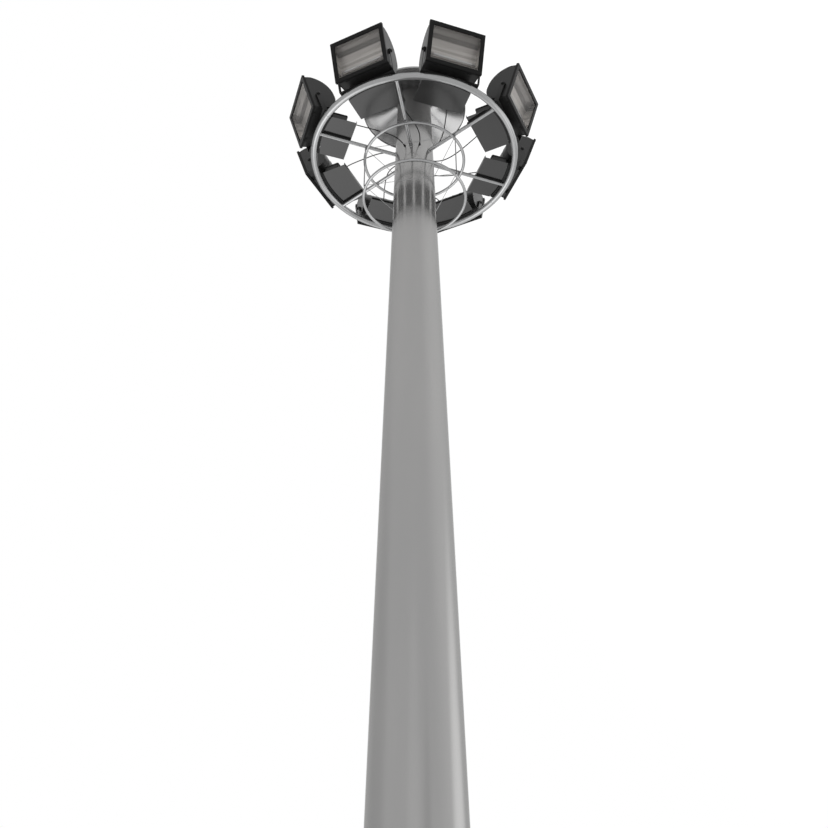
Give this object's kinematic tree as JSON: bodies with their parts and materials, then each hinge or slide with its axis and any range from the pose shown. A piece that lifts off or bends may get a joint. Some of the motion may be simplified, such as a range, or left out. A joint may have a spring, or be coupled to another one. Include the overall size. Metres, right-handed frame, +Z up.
{
  "type": "high mast floodlight tower",
  "caption": "Tapered steel mast with a round head frame that carries tilting floodlights in yokes, gear boxes inside the ring, a cable cage and a conical rain hood",
  "frame": {"origin": "centre of the base flange's underside, at ground level", "axes": "+Z up along the mast; azimuth 0 is +X, and the first floodlight faces near -Y"},
  "size_m": [3.0354, 3.0354, 11.48],
  "materials": {
    "housing_paint": "satin charcoal powder coat",
    "frame_paint": "satin black powder coat",
    "lamp_glass": "clear toughened glass",
    "black_rubber": "matt black rubber",
    "lead_sheath": "matt black cable sheath",
    "gland_plastic": "matt black plastic",
    "gear_paint": "satin dark grey paint",
    "yoke_paint": "satin black powder coat",
    "bolt_steel": "zinc plated",
    "hood_paint": "gloss light grey paint",
    "mast_paint": "gloss mid grey paint",
    "galvanised_steel": "bright galvanised"
  },
  "bodies": {
    "mast": {"base_flange": "galvanised_steel", "base_gussets": "galvanised_steel", "cage_ring_lower": "galvanised_steel", "cage_ring_upper": "galvanised_steel", "cage_rods": "galvanised_steel", "cage_ties": "galvanised_steel", "gear_box_glands": "gland_plastic", "gear_box_lids": "gear_paint", "gear_boxes": "gear_paint", "gear_trays": "gear_paint", "hatch_bolts": "bolt_steel", "hatch_cover": "mast_paint", "hatch_frame": "mast_paint", "lead_1": "lead_sheath", "lead_2": "lead_sheath", "lead_3": "lead_sheath", "lead_4": "lead_sheath", "lead_5": "lead_sheath", "lead_6": "lead_sheath", "lead_7": "lead_sheath", "lead_8": "lead_sheath", "lead_grommets": "black_rubber", "mast_shaft": "mast_paint", "outer_ring": "galvanised_steel", "rain_hood": "hood_paint", "ring_packers": "black_rubber", "spoke_packers": "black_rubber", "spokes": "galvanised_steel", "yokes": "yoke_paint"},
    "floodlight_1": {"housing_1": "housing_paint", "front_frame_1": "frame_paint", "glass_1": "lamp_glass"},
    "floodlight_2": {"housing_2": "housing_paint", "front_frame_2": "frame_paint", "glass_2": "lamp_glass"},
    "floodlight_3": {"housing_3": "housing_paint", "front_frame_3": "frame_paint", "glass_3": "lamp_glass"},
    "floodlight_4": {"housing_4": "housing_paint", "front_frame_4": "frame_paint", "glass_4": "lamp_glass"},
    "floodlight_5": {"housing_5": "housing_paint", "front_frame_5": "frame_paint", "glass_5": "lamp_glass"},
    "floodlight_6": {"housing_6": "housing_paint", "front_frame_6": "frame_paint", "glass_6": "lamp_glass"},
    "floodlight_7": {"housing_7": "housing_paint", "front_frame_7": "frame_paint", "glass_7": "lamp_glass"},
    "floodlight_8": {"housing_8": "housing_paint", "front_frame_8": "frame_paint", "glass_8": "lamp_glass"}
  },
  "joints": [
    {"name": "floodlight_1_tilt", "type": "hinge", "parent": "mast", "child": "floodlight_1", "pos_m": [-0.55927, -1.15691, 10.6], "axis": [-0.9003, 0.4352, 0], "range_deg": [-15, 40]},
    {"name": "floodlight_2_tilt", "type": "hinge", "parent": "mast", "child": "floodlight_2", "pos_m": [0.42259, -1.21352, 10.6], "axis": [-0.9444, -0.3289, 0], "range_deg": [-15, 40]},
    {"name": "floodlight_3_tilt", "type": "hinge", "parent": "mast", "child": "floodlight_3", "pos_m": [1.15691, -0.55927, 10.6], "axis": [-0.4352, -0.9003, 0], "range_deg": [-15, 40]},
    {"name": "floodlight_4_tilt", "type": "hinge", "parent": "mast", "child": "floodlight_4", "pos_m": [1.21352, 0.42259, 10.6], "axis": [0.3289, -0.9444, 0], "range_deg": [-15, 40]},
    {"name": "floodlight_5_tilt", "type": "hinge", "parent": "mast", "child": "floodlight_5", "pos_m": [0.55927, 1.15691, 10.6], "axis": [0.9003, -0.4352, 0], "range_deg": [-15, 40]},
    {"name": "floodlight_6_tilt", "type": "hinge", "parent": "mast", "child": "floodlight_6", "pos_m": [-0.42259, 1.21352, 10.6], "axis": [0.9444, 0.3289, 0], "range_deg": [-15, 40]},
    {"name": "floodlight_7_tilt", "type": "hinge", "parent": "mast", "child": "floodlight_7", "pos_m": [-1.15691, 0.55927, 10.6], "axis": [0.4352, 0.9003, 0], "range_deg": [-15, 40]},
    {"name": "floodlight_8_tilt", "type": "hinge", "parent": "mast", "child": "floodlight_8", "pos_m": [-1.21352, -0.42259, 10.6], "axis": [-0.3289, 0.9444, 0], "range_deg": [-15, 40]}
  ]
}
